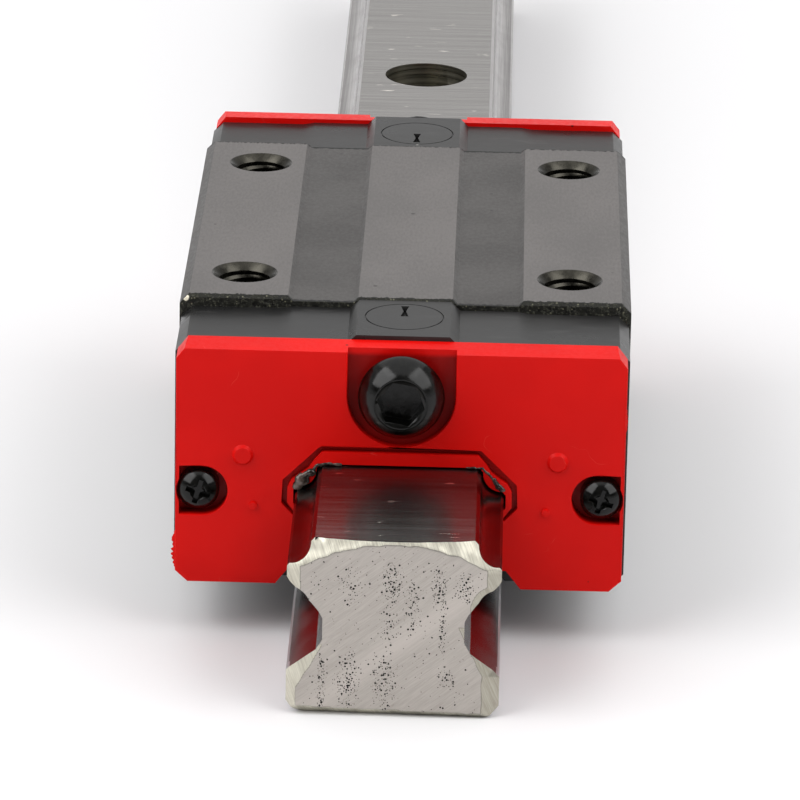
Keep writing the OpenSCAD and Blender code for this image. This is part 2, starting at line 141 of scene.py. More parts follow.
class Graph:
    """A node tree built call by call: each call adds a node and gives its output."""

    def __init__(self, tree):
        self.tree = tree
        tree.nodes.clear()

    def node(self, kind, inputs=None, output=0, **settings):
        made = self.tree.nodes.new("ShaderNode" + kind)
        for name, value in settings.items():
            setattr(made, name, value)
        for key, value in (inputs or {}).items():
            if isinstance(value, bpy.types.NodeSocket):
                self.tree.links.new(value, made.inputs[key])
            else:
                made.inputs[key].default_value = value
        return made.outputs[output]

    def math(self, operation, a, b=0.0, clamp=False):
        return self.node("Math", {0: a, 1: b}, operation=operation, use_clamp=clamp)

    def mix(self, factor, a, b):
        """The colour that goes from a to b as the factor goes from 0 to 1."""
        return self.node("Mix", {0: factor, 6: a, 7: b}, 2, data_type="RGBA")

    def ease(self, value, low, high, start=0.0, end=1.0):
        """Goes smoothly from start to end as value goes from low to high."""
        inputs = {0: value, 1: low, 2: high, 3: start, 4: end}
        return self.node("MapRange", inputs, interpolation_type="SMOOTHSTEP")

    def place(self, stretch=(1, 1, 1), turn=(0, 0, 0)):
        """Object coordinates in millimetres, turned by degrees and then scaled."""
        coordinates = self.node("TexCoord", output="Object")
        turned = self.node(
            "VectorRotate",
            {"Vector": coordinates, "Rotation": [math.radians(a) for a in turn]},
            rotation_type="EULER_XYZ",
        )
        scale = [s / MM for s in stretch]
        return self.node("VectorMath", {0: turned, 1: scale}, operation="MULTIPLY")

    def axes(self):
        """X, Y and Z in millimetres."""
        return self.node("SeparateXYZ", {0: self.place()}).node.outputs

    def noise(self, scale, detail=3.0, roughness=0.55, stretch=(1, 1, 1), turn=(0, 0, 0)):
        """Noise from 0 to 1 with the given number of lumps per millimetre."""
        inputs = {
            "Vector": self.place(stretch, turn),
            "Scale": scale,
            "Detail": detail,
            "Roughness": roughness,
        }
        return self.node("TexNoise", inputs)

    def specks(self, scale, size, share):
        """1 inside small round specks: a share of the cells has one, of the given size."""
        cells = self.node("TexVoronoi", {"Vector": self.place(), "Scale": scale}).node
        chosen = self.node("SeparateColor", {0: cells.outputs["Color"]})
        near = self.ease(cells.outputs["Distance"], size, size * 0.6)
        return self.math("MULTIPLY", near, self.math("LESS_THAN", chosen, share))

    def bump(self, height, distance, strength=1.0):
        """A normal from a height, which is distance millimetres high where it is 1."""
        inputs = {"Height": height, "Distance": distance * MM, "Strength": strength}
        return self.node("Bump", inputs)


def rgb(red, green, blue):
    return (red, green, blue, 1.0)


BLACK = rgb(0.0, 0.0, 0.0)


def material(name, paint, **uniform):
    """A material with the varying sockets that paint returns and the uniform numbers given here."""
    made = bpy.data.materials.new(name)
    made.use_nodes = True
    graph = Graph(made.node_tree)
    shader = graph.node("BsdfPrincipled").node
    for key, value in uniform.items():
        shader.inputs[key.replace("_", " ")].default_value = value
    for key, socket in paint(graph).items():
        graph.tree.links.new(socket, shader.inputs[key])
    end = made.node_tree.nodes.new("ShaderNodeOutputMaterial")
    made.node_tree.links.new(shader.outputs[0], end.inputs["Surface"])
    return made


# ---- materials ----


def paint_seal(g):
    """Red moulded rubber: faint clouds, smears, painted shade in the recesses, dark specks and pale
    scuffs.
    """
    x, y, z = g.axes()
    cloud = g.noise(0.07, 3)
    grain = g.noise(2.2, 4, 0.65)
    deep, light = rgb(0.565, 0.0022, 0.0010), rgb(0.640, 0.0032, 0.0016)
    colour = g.mix(g.ease(cloud, 0.35, 0.68), deep, light)
    smear = g.ease(g.noise(0.16, 4, 0.6, stretch=(1, 1, 0.6)), 0.58, 0.80, 0.0, 0.40)
    colour = g.mix(smear, colour, rgb(0.40, 0.0024, 0.0014))
    behind_front = g.math("SUBTRACT", y, seal_face / MM)
    behind_rear = g.math("SUBTRACT", rear_seal_face / MM, y)
    depth = g.math("MINIMUM", behind_front, behind_rear)
    beside, below = g.ease(g.math("ABSOLUTE", x), 21.2, 20.6), g.ease(z, 28.9, 28.3)
    inner = g.math("MULTIPLY", beside, below)
    # Painted shade: the red darkens the deeper a point lies behind the seal's outer face, inside
    # its outline where the pockets are.
    recess_shade = g.math("MULTIPLY", g.ease(depth, 0.15, 1.1, 0.0, 0.80), inner)
    colour = g.mix(recess_shade, colour, rgb(0.150, 0.0012, 0.0010))
    colour = g.mix(g.specks(0.55, 0.09, 0.12), colour, rgb(0.10, 0.006, 0.004))
    contours = g.noise(0.11, 3, 0.5, turn=(0, 35, 0))
    thread = g.math("ABSOLUTE", g.math("SUBTRACT", contours, 0.5))
    where = g.ease(g.noise(0.23, 2), 0.60, 0.68)
    scuff = g.math("MULTIPLY", g.ease(thread, 0.0022, 0.0008), where)
    colour = g.mix(g.math("MULTIPLY", scuff, 0.30), colour, rgb(0.80, 0.16, 0.12))
    return {
        "Base Color": colour,
        "Roughness": g.ease(grain, 0.3, 0.7, 0.34, 0.50),
        "Normal": g.bump(grain, 0.012, 0.6),
    }


def paint_cap(g):
    """Black glass-filled nylon with a dusty, slightly greasy skin."""
    cloud = g.noise(0.11, 4, 0.6, stretch=(0.6, 1, 1))
    grain = g.noise(3.0, 4, 0.7)
    clean, dusty = rgb(0.010, 0.010, 0.010), rgb(0.024, 0.0235, 0.023)
    colour = g.mix(g.ease(cloud, 0.40, 0.72), clean, dusty)
    streak = g.ease(g.noise(0.5, 3, 0.6, stretch=(0.25, 1, 1)), 0.60, 0.75, 0.0, 0.5)
    colour = g.mix(streak, colour, rgb(0.050, 0.049, 0.048))
    colour = g.mix(g.specks(0.45, 0.08, 0.08), colour, rgb(0.22, 0.21, 0.20))
    return {
        "Base Color": colour,
        "Roughness": g.ease(cloud, 0.3, 0.75, 0.24, 0.42),
        "Normal": g.bump(grain, 0.014, 0.6),
    }


def ragged_edge(g, reach):
    """1 where the ends' black scale creeps over the block's end edges, up to reach mm further."""
    y = g.axes()[1]
    near = g.math("SUBTRACT", y, block_front / MM)
    far = g.math("SUBTRACT", block_rear / MM, y)
    distance = g.math("MINIMUM", near, far)
    ragged = g.noise(2.6, 4, 0.7, stretch=(1, 0.4, 1))
    limit = g.ease(ragged, 0.36, 0.66, 0.32, 0.32 + reach)
    return g.ease(g.math("SUBTRACT", limit, distance), -0.03, 0.03)


def paint_pad(g):
    """Ground mounting face: fine lengthwise grain with slow changes of tone."""
    grain = g.noise(4.0, 4, 0.7, stretch=(1, 0.3, 1))
    cloud = g.noise(0.10, 3, stretch=(1, 0.5, 1))
    tone = g.math("ADD", g.math("MULTIPLY", grain, 0.6), g.math("MULTIPLY", cloud, 0.4))
    dark, pale = rgb(0.178, 0.167, 0.162), rgb(0.226, 0.212, 0.206)
    colour = g.mix(g.ease(tone, 0.36, 0.64), dark, pale)
    colour = g.mix(g.specks(0.30, 0.08, 0.10), colour, rgb(0.09, 0.085, 0.08))
    colour = g.mix(ragged_edge(g, 0.35), colour, rgb(0.012, 0.012, 0.010))
    return {
        "Base Color": colour,
        "Roughness": g.ease(cloud, 0.3, 0.7, 0.44, 0.54),
        "Normal": g.bump(grain, 0.008, 0.5),
    }


def paint_oxide(g):
    """Black-oxided steel as forged and milled, in the grooves and on the sides."""
    grain = g.noise(2.5, 5, 0.7, stretch=(1, 0.6, 1))
    cloud = g.noise(0.12, 3)
    dark, pale = rgb(0.088, 0.083, 0.080), rgb(0.112, 0.106, 0.102)
    colour = g.mix(g.ease(cloud, 0.34, 0.68), dark, pale)
    colour = g.mix(g.specks(0.5, 0.10, 0.10), colour, rgb(0.04, 0.04, 0.04))
    colour = g.mix(ragged_edge(g, 0.30), colour, rgb(0.010, 0.010, 0.009))
    return {
        "Base Color": colour,
        "Roughness": g.ease(grain, 0.3, 0.7, 0.40, 0.54),
        "Normal": g.bump(grain, 0.012, 0.6),
    }


def paint_black_edge(g):
    """Sawn and blackened end of the block: coarse, oily, with a bare nick, and with glints and
    sparkle painted into its colour.
    """
    rough = g.noise(1.5, 5, 0.75)
    # Painted highlights: small bright specks stand in for glints of light on the rough end.
    painted_glint = g.specks(3.4, 0.34, 0.22)
    # Lighter grit: the end's own rough texture in the bump and, in the colour, a painted sparkle.
    grit_and_sparkle = g.ease(g.noise(3.6, 3, 0.7), 0.50, 0.66)
    deep, oily = rgb(0.004, 0.004, 0.003), rgb(0.020, 0.020, 0.014)
    colour = g.mix(g.ease(rough, 0.35, 0.7), deep, oily)
    colour = g.mix(g.math("MULTIPLY", grit_and_sparkle, 0.7), colour, rgb(0.080, 0.080, 0.058))
    colour = g.mix(g.math("MULTIPLY", painted_glint, 0.6), colour, rgb(0.26, 0.25, 0.17))
    ends = {0: g.place(), 1: [c / MM for c in NICK]}
    from_nick = g.node("VectorMath", ends, "Value", operation="DISTANCE")
    bare = g.ease(g.math("ADD", from_nick, g.math("MULTIPLY", rough, 0.5)), 0.62, 0.50)
    colour = g.mix(bare, colour, rgb(0.95, 0.88, 0.70))
    height = g.math("ADD", rough, g.math("MULTIPLY", grit_and_sparkle, 0.3))
    return {
        "Base Color": colour,
        "Roughness": g.ease(rough, 0.3, 0.7, 0.38, 0.70),
        "Normal": g.bump(height, 0.20),
    }


def paint_thread(g):
    """Blackened wall of the mounting threads."""
    grain = g.noise(1.8, 4)
    colour = g.mix(grain, rgb(0.020, 0.019, 0.016), rgb(0.070, 0.066, 0.055))
    return {"Base Color": colour, "Roughness": g.ease(grain, 0.3, 0.7, 0.20, 0.36)}


def crosswise_lines(g):
    """Grinding marks across the rail, from 0 to 1, in two widths."""
    wide = g.noise(0.9, 2, 0.5, stretch=(0.015, 1, 0))
    fine = g.noise(3.4, 4, 0.70, stretch=(0.010, 1, 0))
    return g.math("ADD", g.math("MULTIPLY", wide, 0.22), g.math("MULTIPLY", fine, 0.78))


def painted_front_shade(g, colour, darkening):
    """Painted shade: darkens the bare rail in front of the carriage, fading out under it and gone
    behind it.
    """
    y = g.axes()[1]
    film_and_shade = g.ease(y, seal_face / MM + 2, rear_seal_face / MM, darkening, 0.0)
    return g.mix(film_and_shade, colour, BLACK)


def paint_rail_top(g):
    """Ground top of the rail with crosswise grinding marks and a few bright scratches."""
    lines = crosswise_lines(g)
    dark, pale = rgb(0.310, 0.295, 0.280), rgb(0.465, 0.450, 0.435)
    # Painted shade on the rail top in front of the carriage.
    colour = painted_front_shade(g, g.mix(g.ease(lines, 0.34, 0.66), dark, pale), 0.50)
    contours = g.noise(0.55, 1, stretch=(0.012, 1, 0))
    line = g.math("ABSOLUTE", g.math("SUBTRACT", contours, 0.5))
    where = g.ease(g.noise(0.30, 2, stretch=(1, 1.6, 0)), 0.62, 0.67)
    scratch = g.math("MULTIPLY", g.ease(line, 0.010, 0.003), where)
    colour = g.mix(scratch, colour, rgb(0.95, 0.90, 0.82))
    return {
        "Base Color": colour,
        "Roughness": g.ease(lines, 0.35, 0.65, 0.19, 0.25),
        "Normal": g.bump(lines, 0.0022, 0.7),
        "Tangent": g.node("CombineXYZ", {0: 0.0, 1: 1.0, 2: 0.0}),
    }


def paint_rail_side(g):
    """Ground raceways and shoulders: fine lengthwise marks and pale specks of dirt."""
    lines = g.noise(5.0, 3, 0.6, stretch=(1, 0.012, 1))
    cloud = g.noise(0.3, 2)
    dark, pale = rgb(0.27, 0.255, 0.25), rgb(0.37, 0.352, 0.345)
    # Painted shade on the raceways in front of the carriage.
    colour = painted_front_shade(g, g.mix(g.ease(lines, 0.35, 0.65), dark, pale), 0.62)
    colour = g.mix(g.specks(1.1, 0.08, 0.10), colour, rgb(0.70, 0.64, 0.58))
    return {
        "Base Color": colour,
        "Roughness": g.ease(cloud, 0.3, 0.7, 0.16, 0.24),
        "Normal": g.bump(lines, 0.0016, 0.5),
    }


def paint_rail_base(g):
    """Brushed sides of the rail's foot and its underside."""
    lines = g.noise(4.0, 3, 0.65, stretch=(1, 0.03, 1))
    cloud = g.noise(0.16, 3)
    dark, pale = rgb(0.33, 0.315, 0.325), rgb(0.50, 0.485, 0.50)
    colour = g.mix(g.ease(lines, 0.35, 0.65), dark, pale)
    return {
        "Base Color": colour,
        "Roughness": g.ease(cloud, 0.3, 0.7, 0.30, 0.44),
        "Normal": g.bump(lines, 0.006, 0.7),
    }


def paint_rail_bore(g):
    """Drilled and counterbored holes: turned rings and a dark film."""
    rings = g.noise(3.0, 2, 0.5, stretch=(0.02, 0.02, 1))
    colour = g.mix(g.ease(rings, 0.35, 0.65), rgb(0.26, 0.25, 0.21), rgb(0.42, 0.40, 0.34))
    return {"Base Color": colour, "Roughness": g.ease(rings, 0.3, 0.7, 0.26, 0.38)}


def brush(g, turn, scale=8.0):
    """Fine straight brush marks in the X-Z plane, at turn degrees from level."""
    fine = g.noise(scale, 4, 0.75, stretch=(0.05, 0, 1), turn=(0, turn, 0))
    broad = g.noise(scale * 0.2, 2, 0.5, stretch=(0.06, 0, 1), turn=(0, turn, 0))
    return g.math("ADD", g.math("MULTIPLY", fine, 0.75), g.math("MULTIPLY", broad, 0.25))


def pit_layer(g, scale, smallest, largest, pits):
    """1 inside the pits of one size range; the share of pitted cells comes from the mesh."""
    cells = g.node("TexVoronoi", {"Vector": g.place((1, 0, 1)), "Scale": scale}).node
    chosen = g.node("SeparateColor", {0: cells.outputs["Color"]}).node
    size = g.ease(g.math("POWER", chosen.outputs[1], 1.5), 0.0, 1.0, smallest, largest)
    hole = g.math("LESS_THAN", cells.outputs["Distance"], size)
    return g.math("MULTIPLY", hole, g.math("LESS_THAN", chosen.outputs[0], pits))


def paint_rail_end(g):
    """Sawn end dressed with an angle grinder: slanting marks, pits and bright ground edges, with
    painted shade on the lower edges and along the edges' border.
    """
    x, y, z = g.axes()
    from_front = g.math("SUBTRACT", y, rail_end / MM)
    from_rear = g.math("SUBTRACT", rail_high.y / MM, y)
    ground = g.ease(g.math("MINIMUM", from_front, from_rear), 0.010, 0.045)
    marks = brush(g, 38)
    dark, pale = rgb(0.375, 0.345, 0.315), rgb(0.475, 0.440, 0.405)
    plane = g.mix(g.ease(marks, 0.34, 0.66), dark, pale)
    slant = g.math("ADD", g.math("MULTIPLY", x, -0.62), g.math("MULTIPLY", z, 0.78))
    band = g.math("ABSOLUTE", g.math("SUBTRACT", slant, 5.4))
    plane = g.mix(g.ease(band, 1.8, 0.2, 0.0, 0.40), plane, rgb(0.58, 0.53, 0.49))
    pits = g.node("Attribute", output="Fac", attribute_name="pits")
    coarse = pit_layer(g, 4.4, 0.16, 0.46, pits)
    fine = pit_layer(g, 7.0, 0.18, 0.38, pits)
    hole = g.math("MAXIMUM", coarse, fine)
    plane = g.mix(hole, plane, rgb(0.012, 0.011, 0.010))
    edge_marks = brush(g, -68, 6.0)
    worn, bright = rgb(0.58, 0.545, 0.45), rgb(0.97, 0.94, 0.80)
    edge = g.mix(g.ease(edge_marks, 0.32, 0.66), worn, bright)
    # Painted shade: the ground edges below the rail's top darken, more on the right side.
    lower_edge_shade = g.math("MULTIPLY", g.ease(z, 15.6, 14.4), g.ease(x, -2.0, 2.0, 0.40, 0.62))
    edge = g.mix(lower_edge_shade, edge, rgb(0.15, 0.135, 0.11))
    colour = g.mix(ground, plane, edge)
    # Painted shadow: a thin dark line where the ground edges meet the sawn plane.
    half_ground = g.math("MULTIPLY", ground, g.math("SUBTRACT", 1.0, ground))
    border_shade = g.math("MULTIPLY", half_ground, 2.6, clamp=True)
    colour = g.mix(border_shade, colour, rgb(0.10, 0.095, 0.085))
    height = g.mix(ground, marks, edge_marks)
    return {
        "Base Color": colour,
        "Roughness": g.ease(marks, 0.3, 0.7, 0.34, 0.46),
        "Normal": g.bump(g.math("SUBTRACT", height, hole), 0.010, 0.8),
    }


def paint_screw(g):
    """Black-oxided screw steel under a film of oil."""
    grain = g.noise(1.6, 4, 0.65)
    deep, oily = rgb(0.0012, 0.0012, 0.0010), rgb(0.0050, 0.0050, 0.0040)
    colour = g.mix(g.ease(grain, 0.4, 0.75), deep, oily)
    return {
        "Base Color": colour,
        "Roughness": g.ease(grain, 0.3, 0.7, 0.10, 0.22),
        "Normal": g.bump(grain, 0.010, 0.6),
    }


def paint_ball(g):
    """Lapped bearing steel with a thin film of oil."""
    film_and_shade = g.noise(0.8, 3)
    colour = g.mix(film_and_shade, rgb(0.66, 0.67, 0.68), rgb(0.80, 0.80, 0.80))
    return {"Base Color": colour, "Roughness": g.ease(film_and_shade, 0.3, 0.7, 0.05, 0.14)}


def paint_retainer(g):
    """Natural acetal of the ball retainers."""
    cloud = g.noise(0.4, 3)
    colour = g.mix(cloud, rgb(0.62, 0.59, 0.49), rgb(0.74, 0.71, 0.62))
    return {"Base Color": colour, "Roughness": g.ease(cloud, 0.3, 0.7, 0.34, 0.46)}


def paint_guide(g):
    """Black acetal of the return guides."""
    cloud = g.noise(0.9, 3)
    colour = g.mix(cloud, rgb(0.010, 0.010, 0.011), rgb(0.026, 0.026, 0.028))
    return {"Base Color": colour, "Roughness": g.ease(cloud, 0.3, 0.7, 0.30, 0.42)}


def paint_black_rubber(g):
    """Matt black rubber of the bottom seals."""
    grain = g.noise(3.0, 4)
    colour = g.mix(grain, rgb(0.014, 0.014, 0.014), rgb(0.030, 0.030, 0.029))
    return {
        "Base Color": colour,
        "Roughness": g.ease(grain, 0.3, 0.7, 0.62, 0.78),
        "Normal": g.bump(grain, 0.02, 0.6),
    }


def paint_plate(g):
    """Rolled steel sheet of the plates behind the end seals."""
    lines = g.noise(2.5, 3, stretch=(0.05, 1, 1))
    colour = g.mix(lines, rgb(0.42, 0.41, 0.40), rgb(0.58, 0.57, 0.55))
    return {"Base Color": colour, "Roughness": g.ease(lines, 0.3, 0.7, 0.28, 0.40)}


def paint_grease(g):
    """Old dark grease pushed out at the corners of the lip, wet on its surface."""
    cloud = g.noise(1.1, 3)
    deep, pale = rgb(0.012, 0.007, 0.005), rgb(0.12, 0.085, 0.07)
    colour = g.mix(g.ease(cloud, 0.40, 0.72), deep, pale)
    return {
        "Base Color": colour,
        "Roughness": g.ease(cloud, 0.3, 0.7, 0.08, 0.20),
        "Normal": g.bump(cloud, 0.05, 0.7),
    }


def paint_floor(g):
    """White card, blown out by the lights except where the carriage shades it."""
    cloud = g.noise(0.004, 2)
    lower_edge_shade, clean = rgb(0.690, 0.685, 0.695), rgb(0.710, 0.705, 0.710)
    return {"Base Color": g.mix(cloud, lower_edge_shade, clean)}


seal_red = material("seal_red", paint_seal, Specular_IOR_Level=0.12)
cap_black = material("cap_black", paint_cap, Specular_IOR_Level=0.33)
pad_steel = material("pad_steel", paint_pad, Metallic=1.0)
oxide_steel = material("oxide_steel", paint_oxide, Metallic=0.9)
black_edge = material(
    "black_edge", paint_black_edge, Metallic=0.2, Specular_IOR_Level=0.3
)
thread_steel = material("thread_steel", paint_thread, Metallic=1.0)
rail_top_steel = material(
    "rail_top_steel", paint_rail_top, Metallic=1.0, Anisotropic=0.85
)
rail_side_steel = material("rail_side_steel", paint_rail_side, Metallic=1.0)
rail_base_steel = material("rail_base_steel", paint_rail_base, Metallic=1.0)
rail_bore_steel = material("rail_bore_steel", paint_rail_bore, Metallic=1.0)
rail_end_steel = material("rail_end_steel", paint_rail_end, Metallic=0.75)
screw_black = material("screw_black", paint_screw, Specular_IOR_Level=0.26)
ball_steel = material("ball_steel", paint_ball, Metallic=1.0)
retainer_white = material("retainer_white", paint_retainer)
guide_black = material("guide_black", paint_guide)
rubber_black = material("rubber_black", paint_black_rubber)
plate_steel = material("plate_steel", paint_plate, Metallic=1.0)
grease = material("grease", paint_grease)
floor_card = material(
    "floor_card", paint_floor, Roughness=0.7, Specular_IOR_Level=0.2
)


# ---- rail ----

# All in millimetres
GRIND_LENGTH = 2.2  # length of the rail's front end that the grinding can reach
GRID = 0.16  # distance between the mesh lines across the front end
# Strokes of the grinder along the front end's edges: a point (X, Z) on the stroke's border,
# the direction it falls away to in degrees, its slope, and the heights between which it runs
STROKES = (
    ((-7.9, 4.75), 150, 0.60, (2.0, 7.2)),
    ((-9.1, 2.0), 180, 0.90, (-1.0, 4.2)),
    ((7.1, 6.9), 25, 0.50, (3.6, 9.2)),
    ((8.3, 2.0), 0, 0.38, (-1.0, 4.9)),
    ((-8.65, 13.5), 180, 0.28, (12.0, 15.6)),
    ((8.6, 13.5), 0, 0.32, (11.8, 15.6)),
    ((0.0, 0.68), 268.6, 1.25, (-1.0, 3.0)),
)
# The stroke along the top edge, beyond an arc about (0, 0) and above a height
TOP_FROM, TOP_RADIUS, TOP_SLOPE = 12.0, 17.2, 0.55
# The stroke round the right race, within an arc about its centre and between two heights
RACE_CENTRE, RACE_REACH, RACE_SLOPE, RACE_HEIGHTS = (9.85, 10.85), 2.75, 0.45, (9.2, 14.2)
# Clusters of casting pits on the front end: centre (X, Z), half width, half height, and
# share of the cells that are pitted, which is cut off at 1
PIT_CLUSTERS = (
    ((-4.1, 13.2), 0.8, 1.6, 0.60),
    ((-0.2, 13.4), 0.9, 2.0, 0.95),
    ((-0.3, 9.3), 0.8, 2.0, 0.55),
    ((1.8, 11.3), 0.8, 2.6, 0.55),
    ((4.3, 13.1), 0.7, 1.8, 0.90),
    ((4.6, 9.6), 0.30, 2.6, 1.40),
    ((6.6, 13.2), 0.9, 1.2, 0.90),
    ((-6.7, 2.9), 0.30, 2.6, 1.80),
    ((-4.2, 3.4), 1.0, 2.8, 0.85),
    ((-0.8, 3.4), 1.0, 2.8, 0.80),
    ((5.0, 4.2), 0.7, 1.0, 0.90),
)
BACKGROUND_PITS = 0.05


def ground_back(x, z):
    """How far the grinder has set a point of the front end back, all in millimetres."""
    wobble = 0.10 * noise.noise((x * 0.9, z * 0.9, 3.1))
    depth = 0.0
    if z > TOP_FROM:
        depth = TOP_SLOPE * (math.hypot(x, z) - TOP_RADIUS + 2 * wobble)
    if x > 0 and RACE_HEIGHTS[0] < z < RACE_HEIGHTS[1]:
        reach = RACE_REACH - math.hypot(x - RACE_CENTRE[0], z - RACE_CENTRE[1])
        depth = max(depth, RACE_SLOPE * (reach + wobble))
    for (from_x, from_z), turn, slope, (low, high) in STROKES:
        direction = math.radians(turn)
        beyond = (x - from_x) * math.cos(direction) + (z - from_z) * math.sin(direction)
        depth = max(depth, slope * min(beyond + wobble, z - low, high - z))
    return max(0.0, depth)


def pit_share(x, z):
    """Share of the cells that are pitted at a point of the front end."""
    share = BACKGROUND_PITS
    for (centre_x, centre_z), half_width, half_height, most in PIT_CLUSTERS:
        away = math.hypot((x - centre_x) / half_width, (z - centre_z) / half_height)
        share = max(share, most * min(1.0, max(0.0, 1.5 - away)))
    return share


def cut_across(bm, geometry, place, normal):
    bmesh.ops.bisect_plane(bm, geom=geometry, dist=1e-7, plane_co=place, plane_no=normal)


def build_rail():
    """The rail, with its front end ground back and pitted on a fine grid, and its faces sorted."""
    bm = clean_copy("rail")
    cut = rail_end + GRIND_LENGTH * MM
    cut_across(bm, bm.verts[:] + bm.edges[:] + bm.faces[:], (0, cut, 0), (0, 1, 0))
    for axis, low, high in ((0, rail_low.x, rail_high.x), (2, rail_low.z, rail_high.z)):
        lines = int((high - low) / (GRID * MM))
        for i in range(1, lines):
            place, normal = Vector((0, 0, 0)), Vector((0, 0, 0))
            place[axis] = low + i * (high - low) / lines
            normal[axis] = 1
            faces = [f for f in bm.faces if f.calc_center_median().y < cut]
            edges = {e for f in faces for e in f.edges}
            verts = {v for f in faces for v in f.verts}
            cut_across(bm, list(verts) + list(edges) + faces, place, normal)
    pits = bm.verts.layers.float.new("pits")
    for vert in bm.verts:
        if vert.co.y < rail_end + 1e-6:
            x, z = vert.co.x / MM, vert.co.z / MM
            vert[pits] = pit_share(x, z)
            vert.co.y += ground_back(x, z) * MM
    materials = [rail_top_steel, rail_side_steel, rail_base_steel, rail_end_steel, rail_bore_steel]
    top, side, base, end, bore = range(5)
    bore_reach, base_height = 5 * MM, 4.5 * MM
    for face in bm.faces:
        centre, normal = face.calc_center_median(), face.normal
        between_ends = rail_low.y + MM < centre.y < rail_high.y - MM
        between_faces = rail_low.z + 0.1 * MM < centre.z < rail_top - 0.1 * MM
        if centre.y < rail_end + 1.9 * MM and normal.y < -0.3:
            face.material_index = end
        elif normal.y > 0.3 and centre.y > rail_high.y - MM:
            face.material_index = end
        elif abs(centre.x) < bore_reach and between_ends and between_faces:
            face.material_index = bore
        elif normal.z > 0.9 and centre.z > rail_top - 0.2 * MM:
            face.material_index = top
        elif centre.z < base_height:
            face.material_index = base
        else:
            face.material_index = side
    make_piece("rail_surface", bm, "rail", materials, ["rail"], sharp=22)


build_rail()


# ---- carriage block ----


def build_block():
    """The block with softened edges and a material for each kind of face."""
    bm = clean_copy("carriage_block")
    bevel(bm, 0.10 * MM)
    materials = [pad_steel, oxide_steel, black_edge, thread_steel]
    pad, oxide, end, thread = range(4)
    hole_reach, hole_depth, end_depth = 3.4 * MM, 9 * MM, 0.5 * MM
    for face in bm.faces:
        centre, normal = face.calc_center_median(), face.normal
        below = block_high.z - centre.z
        at_hole = any(
            math.hypot(centre.x - x, centre.y - y) < hole_reach for x, y in MOUNTING_HOLES
        )
        if normal.z > 0.98 and below < 0.02 * MM and not (at_hole and normal.z < 0.999):
            face.material_index = pad
        elif at_hole and below < hole_depth and normal.z < 0.98:
            face.material_index = thread
        elif centre.y < block_front + end_depth or centre.y > block_rear - end_depth:
            face.material_index = end
        else:
            face.material_index = oxide
    piece = make_piece(
        "block_surface", bm, "carriage", materials, ["carriage_block"], sharp=40
    )
    weighted_normals(piece)


build_block()


def build_thread(name, x, y):
    """Helical ridge of one mounting thread, from under its countersink down to the drill point."""
    major, minor, pitch = 2.55 * MM, 2.08 * MM, 0.8 * MM
    steps = 40  # per turn
    high, low = block_high.z - 1.2 * MM, block_high.z - 7.4 * MM
    half = pitch * 0.46
    section = ((major, half), (major, -half), (minor, -pitch * 0.06), (minor, pitch * 0.06))
    count = int((high - low) / pitch * steps)
    bm = bmesh.new()
    rings = []
    for i in range(count + 1):
        angle = 2 * math.pi * i / steps
        fade = min(1.0, i / steps * 2, (count - i) / steps * 2)
        z = high - pitch * i / steps
        ring = []
        for radius, rise in section:
            r = major - (major - radius) * fade
            point = (x + r * math.cos(angle), y + r * math.sin(angle), z + rise)
            ring.append(bm.verts.new(point))
        rings.append(ring)
    skin_rings(bm, rings)
    make_piece(name, bm, "carriage", [thread_steel], sharp=35)


for number, (x, y) in enumerate(MOUNTING_HOLES, 1):
    build_thread(f"mounting_thread_{number}", x, y)


# ---- caps, seals and screws ----


def soften_seal(bm, face_y):
    """Rounds the outline and the pockets of a seal's outer face more than its small features."""

    def wall_side(middle, edge):
        """How the wall at an outer edge faces: 1 is outwards or down, -1 inwards, 0 no wall."""
        if any(abs(vert.co.y - face_y) > 5e-6 for vert in edge.verts):
            return 0
        for face in edge.link_faces:
            if abs(face.normal.y) < 0.5:
                return 1 if face.normal.x * middle.x > 1e-5 or face.normal.z < -0.9 else -1
        return 0

    def on_outline(middle, edge):
        beside = abs(middle.x) > seal_high.x - 1.3 * MM
        under = middle.z < seal_low.z + 0.02 * MM
        return (beside or under) and wall_side(middle, edge) == 1

    def on_pocket(middle, edge):
        x, z = abs(middle.x) / MM, middle.z / MM
        at_plug = x < 5.6 and z > 19
        at_screw = 16.3 < x < 21 and 12 < z < 17.5
        return (at_plug or at_screw) and wall_side(middle, edge) != 0

    bevel(bm, 0.24 * MM, 40, 4, on_outline)
    bevel(bm, 0.16 * MM, 40, 4, on_pocket)


SEAL_FACES = {"front_end_seal": seal_face, "rear_end_seal": rear_seal_face}
REBUILT = (
    # node, rounding in mm, corner angle in degrees, material, slot
    ("front_end_cap", 0.10, 25, cap_black, "cap_plastic"),
    ("rear_end_cap", 0.10, 25, cap_black, "cap_plastic"),
    ("front_end_seal", 0.12, 25, seal_red, "seal_rubber"),
    ("rear_end_seal", 0.12, 25, seal_red, "seal_rubber"),
    ("front_left_cap_screw", 0.06, 30, screw_black, "black_screw"),
    ("front_right_cap_screw", 0.06, 30, screw_black, "black_screw"),
    ("rear_left_cap_screw", 0.06, 30, screw_black, "black_screw"),
    ("rear_right_cap_screw", 0.06, 30, screw_black, "black_screw"),
    ("front_port_plug", 0.08, 30, screw_black, "black_screw"),
    ("rear_port_plug", 0.08, 30, screw_black, "black_screw"),
)
for node, rounding, corner, look, slot in REBUILT:
    copy = clean_copy(node)
    if node in SEAL_FACES:
        soften_seal(copy, SEAL_FACES[node])
    bevel(copy, rounding * MM, corner)
    made = make_piece(node + "_surface", copy, "carriage", [look], [node], sharp=40)
    weighted_normals(made)

# CAD nodes that are shown as they are, by the name of their material
KEPT = {
    "guide_plastic": guide_black,
    "retainer_plastic": retainer_white,
    "ball_steel": ball_steel,
    "plate_steel": plate_steel,
    "black_rubber": rubber_black,
}
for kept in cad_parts.values():
    for index, current in enumerate(kept.data.materials):
        if current and current.name in KEPT:
            kept.material_slots[index].link = "OBJECT"
            kept.material_slots[index].material = KEPT[current.name]


# ---- grease at the lip's corners ----


